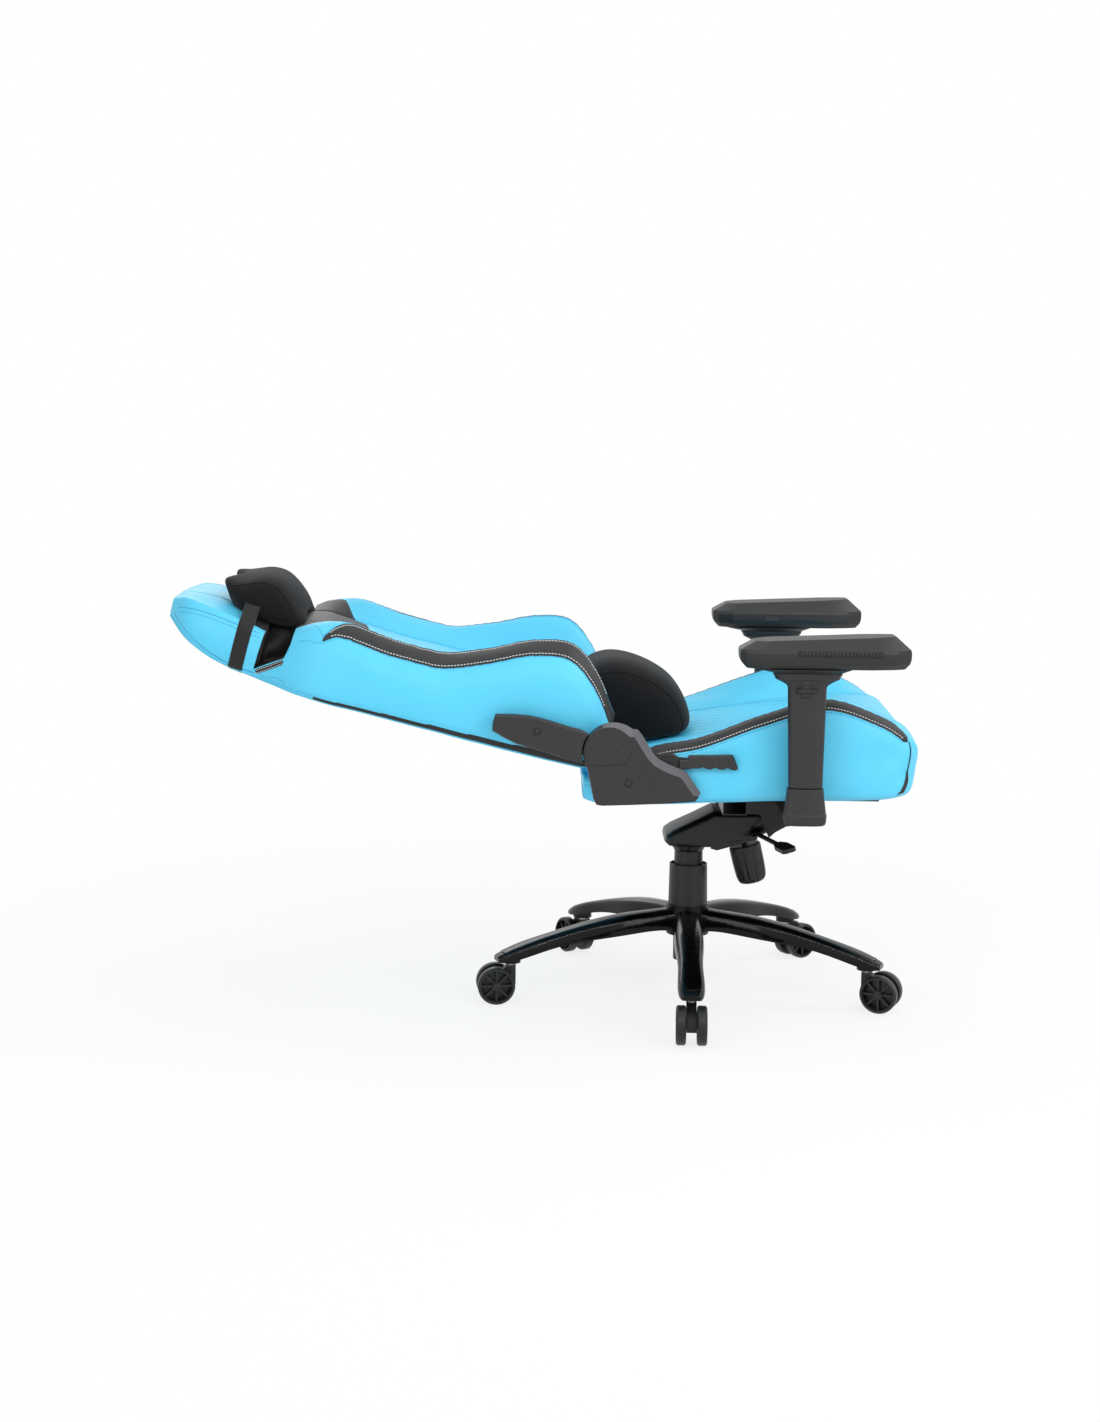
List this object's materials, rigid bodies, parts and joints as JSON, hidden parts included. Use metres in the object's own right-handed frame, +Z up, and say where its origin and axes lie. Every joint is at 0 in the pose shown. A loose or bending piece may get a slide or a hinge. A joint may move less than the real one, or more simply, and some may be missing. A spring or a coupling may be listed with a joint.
{
  "type": "gaming chair",
  "caption": "Swivelling gaming chair with a bucket seat, a reclining winged backrest, loose neck and lumbar pillows, sliding armrests, a tilt mechanism, a gas lift and a five-star caster base.",
  "frame": {"origin": "on the floor, straight under the gas lift's axis", "axes": "+Z up; -Y towards the front edge of the seat; +X towards the sitter's left"},
  "size_m": [0.7366, 1.2686, 0.7367],
  "materials": {
    "base_gloss": "gloss black paint over pressure die-cast aluminium",
    "tube_steel": "satin black enamel",
    "bare_steel": "zinc-plated steel",
    "spring_steel": "oiled spring steel",
    "sleeve_plastic": "satin moulded polypropylene",
    "mechanism_black": "satin black powder coat on pressed steel",
    "lever_black": "black dip-coated steel rod",
    "frame_steel": "black powder-coated steel",
    "belt_webbing": "woven elastic webbing",
    "blue_leather": "sky-blue grained polyurethane leather over foam",
    "grey_plastic": "fine-textured dark grey moulded plastic",
    "black_plastic": "satin black moulded plastic",
    "caster_black": "matt black moulded nylon",
    "pad_urethane": "soft dark grey polyurethane skin",
    "pillow_velour": "short-pile black velour over fibre fill",
    "strap_elastic": "flat black woven elastic"
  },
  "bodies": {
    "base": {"star_base": "base_gloss", "lift_tube": "tube_steel", "sleeve_lower": "sleeve_plastic", "caster_stems": "tube_steel"},
    "lift_rod": {"lift_rod": "bare_steel"},
    "sleeve_middle": {"sleeve_middle": "sleeve_plastic"},
    "mechanism": {"lift_cylinder": "tube_steel", "sleeve_upper": "sleeve_plastic", "mechanism_housing": "mechanism_black", "tilt_pin": "bare_steel", "tension_spring": "spring_steel"},
    "tension_knob": {"tension_knob": "black_plastic"},
    "height_lever": {"height_lever": "lever_black"},
    "lock_lever": {"lock_lever": "lever_black"},
    "seat": {"seat_plate": "mechanism_black", "seat_bolts": "bare_steel", "seat_frame": "frame_steel", "seat_webbing": "belt_webbing", "seat_cushion": "blue_leather", "recliner_plates": "frame_steel", "recliner_pins": "bare_steel", "recliner_cover_right": "grey_plastic", "recliner_cover_left": "grey_plastic", "arm_brackets": "frame_steel", "arm_socket_right": "black_plastic", "arm_socket_left": "black_plastic"},
    "recline_lever": {"recline_lever": "frame_steel", "recline_lever_grip": "grey_plastic"},
    "back": {"back_frame": "frame_steel", "back_webbing": "belt_webbing", "back_cushion": "blue_leather", "back_arm_plates": "frame_steel", "back_arm_cover_right": "grey_plastic", "back_arm_cover_left": "grey_plastic", "harness_bezels": "black_plastic", "neck_pillow": "pillow_velour", "neck_strap": "strap_elastic"},
    "lumbar_pillow": {"lumbar_pillow": "pillow_velour"},
    "caster_fork_one": {"caster_fork_one": "caster_black"},
    "caster_wheels_one": {"caster_wheels_one": "caster_black"},
    "caster_fork_two": {"caster_fork_two": "caster_black"},
    "caster_wheels_two": {"caster_wheels_two": "caster_black"},
    "caster_fork_three": {"caster_fork_three": "caster_black"},
    "caster_wheels_three": {"caster_wheels_three": "caster_black"},
    "caster_fork_four": {"caster_fork_four": "caster_black"},
    "caster_wheels_four": {"caster_wheels_four": "caster_black"},
    "caster_fork_five": {"caster_fork_five": "caster_black"},
    "caster_wheels_five": {"caster_wheels_five": "caster_black"},
    "arm_sleeve_right": {"arm_sleeve_right": "grey_plastic"},
    "height_button_right": {"height_button_right": "black_plastic"},
    "cross_slide_right": {"cross_slide_right": "black_plastic"},
    "turntable_right": {"turntable_right": "black_plastic"},
    "arm_pad_right": {"arm_pad_right": "pad_urethane"},
    "pad_button_right": {"pad_button_right": "black_plastic"},
    "arm_sleeve_left": {"arm_sleeve_left": "grey_plastic"},
    "height_button_left": {"height_button_left": "black_plastic"},
    "cross_slide_left": {"cross_slide_left": "black_plastic"},
    "turntable_left": {"turntable_left": "black_plastic"},
    "arm_pad_left": {"arm_pad_left": "pad_urethane"},
    "pad_button_left": {"pad_button_left": "black_plastic"}
  },
  "joints": [
    {"name": "caster_swivel_one", "type": "hinge", "parent": "base", "child": "caster_fork_one", "pos_m": [-0.31978, 0.01173, 0.064], "axis": [0, 0, 1], "continuous": true},
    {"name": "wheel_roll_one", "type": "hinge", "parent": "caster_fork_one", "child": "caster_wheels_one", "pos_m": [-0.34577, 0.01268, 0.032], "axis": [-0.0366, -0.9993, 0], "continuous": true},
    {"name": "caster_swivel_two", "type": "hinge", "parent": "base", "child": "caster_fork_two", "pos_m": [-0.10997, -0.30051, 0.064], "axis": [0, 0, 1], "continuous": true},
    {"name": "wheel_roll_two", "type": "hinge", "parent": "caster_fork_two", "child": "caster_wheels_two", "pos_m": [-0.11975, -0.3246, 0.032], "axis": [0.9265, -0.3762, 0], "continuous": true},
    {"name": "caster_swivel_three", "type": "hinge", "parent": "base", "child": "caster_fork_three", "pos_m": [0.25182, -0.19745, 0.064], "axis": [0, 0, 1], "continuous": true},
    {"name": "wheel_roll_three", "type": "hinge", "parent": "caster_fork_three", "child": "caster_wheels_three", "pos_m": [0.26706, -0.21851, 0.032], "axis": [0.81, 0.5864, 0], "continuous": true},
    {"name": "caster_swivel_four", "type": "hinge", "parent": "base", "child": "caster_fork_four", "pos_m": [0.2656, 0.17848, 0.064], "axis": [0, 0, 1], "continuous": true},
    {"name": "wheel_roll_four", "type": "hinge", "parent": "caster_fork_four", "child": "caster_wheels_four", "pos_m": [0.28791, 0.19183, 0.032], "axis": [-0.5135, 0.8581, 0], "continuous": true},
    {"name": "caster_swivel_five", "type": "hinge", "parent": "base", "child": "caster_fork_five", "pos_m": [-0.08767, 0.30776, 0.064], "axis": [0, 0, 1], "continuous": true},
    {"name": "wheel_roll_five", "type": "hinge", "parent": "caster_fork_five", "child": "caster_wheels_five", "pos_m": [-0.09034, 0.33362, 0.032], "axis": [-0.9947, -0.1028, 0], "continuous": true},
    {"name": "seat_swivel", "type": "hinge", "parent": "base", "child": "lift_rod", "pos_m": [0, 0, 0.2], "axis": [0, 0, 1], "continuous": true},
    {"name": "seat_height", "type": "slide", "parent": "lift_rod", "child": "mechanism", "axis": [0, 0, 1], "range_m": [0, 0.07]},
    {"name": "sleeve_telescope", "type": "slide", "parent": "lift_rod", "child": "sleeve_middle", "axis": [0, 0, 1], "range_m": [0, 0.035]},
    {"name": "tension_turn", "type": "hinge", "parent": "mechanism", "child": "tension_knob", "pos_m": [0, -0.095, 0.271], "axis": [0, 0.2334, 0.9724], "range_deg": [-720, 720]},
    {"name": "height_lever_lift", "type": "hinge", "parent": "mechanism", "child": "height_lever", "pos_m": [-0.04, -0.1077, 0.2911], "axis": [0, 1, 0], "range_deg": [0, 8], "stiffness_Nm_per_rad": 2, "springref_deg": -11.46},
    {"name": "lock_lever_lift", "type": "hinge", "parent": "mechanism", "child": "lock_lever", "pos_m": [0.04, -0.1077, 0.2911], "axis": [0, -1, 0], "range_deg": [0, 8]},
    {"name": "seat_tilt", "type": "hinge", "parent": "mechanism", "child": "seat", "pos_m": [0, -0.152, 0.332], "axis": [-1, 0, 0], "range_deg": [0, 10], "stiffness_Nm_per_rad": 200, "springref_deg": -28.65},
    {"name": "back_recline", "type": "hinge", "parent": "seat", "child": "back", "pos_m": [0, 0.143, 0.464], "axis": [1, 0, 0], "range_deg": [0, 75]},
    {"name": "lumbar_shift", "type": "slide", "parent": "back", "child": "lumbar_pillow", "axis": [0, 0.8829, 0.4695], "range_m": [0, 0.236]},
    {"name": "recline_release", "type": "hinge", "parent": "seat", "child": "recline_lever", "pos_m": [-0.275, 0.081, 0.45], "axis": [-1, 0, 0], "range_deg": [0, 18], "stiffness_Nm_per_rad": 1.2, "springref_deg": -11.46},
    {"name": "arm_height_right", "type": "slide", "parent": "seat", "child": "arm_sleeve_right", "axis": [0, 0, 1], "range_m": [0, 0.07]},
    {"name": "height_button_press_right", "type": "slide", "parent": "arm_sleeve_right", "child": "height_button_right", "axis": [1, 0, 0], "range_m": [0, 0.003], "stiffness_N_per_m": 600, "springref_m": -0.002},
    {"name": "arm_width_right", "type": "slide", "parent": "arm_sleeve_right", "child": "cross_slide_right", "axis": [1, 0, 0], "range_m": [-0.01, 0.01]},
    {"name": "arm_turn_right", "type": "hinge", "parent": "cross_slide_right", "child": "turntable_right", "pos_m": [-0.31, -0.167, 0.61], "axis": [0, 0, 1], "range_deg": [-30, 30]},
    {"name": "arm_reach_right", "type": "slide", "parent": "turntable_right", "child": "arm_pad_right", "axis": [0, 1, 0], "range_m": [-0.025, 0.025]},
    {"name": "pad_button_press_right", "type": "slide", "parent": "arm_pad_right", "child": "pad_button_right", "axis": [-1, 0, 0], "range_m": [0, 0.002], "stiffness_N_per_m": 600, "springref_m": -0.002},
    {"name": "arm_height_left", "type": "slide", "parent": "seat", "child": "arm_sleeve_left", "axis": [0, 0, 1], "range_m": [0, 0.07]},
    {"name": "height_button_press_left", "type": "slide", "parent": "arm_sleeve_left", "child": "height_button_left", "axis": [-1, 0, 0], "range_m": [0, 0.003], "stiffness_N_per_m": 600, "springref_m": -0.002},
    {"name": "arm_width_left", "type": "slide", "parent": "arm_sleeve_left", "child": "cross_slide_left", "axis": [1, 0, 0], "range_m": [-0.01, 0.01]},
    {"name": "arm_turn_left", "type": "hinge", "parent": "cross_slide_left", "child": "turntable_left", "pos_m": [0.31, -0.167, 0.61], "axis": [0, 0, 1], "range_deg": [-30, 30]},
    {"name": "arm_reach_left", "type": "slide", "parent": "turntable_left", "child": "arm_pad_left", "axis": [0, 1, 0], "range_m": [-0.025, 0.025]},
    {"name": "pad_button_press_left", "type": "slide", "parent": "arm_pad_left", "child": "pad_button_left", "axis": [1, 0, 0], "range_m": [0, 0.002], "stiffness_N_per_m": 600, "springref_m": -0.002}
  ],
  "couplings": [
    {"joint": "sleeve_telescope", "follows": "seat_height", "ratio": 0.5},
    {"joint": "lumbar_shift", "follows": "back_recline", "m_per_rad": 0.18}
  ]
}
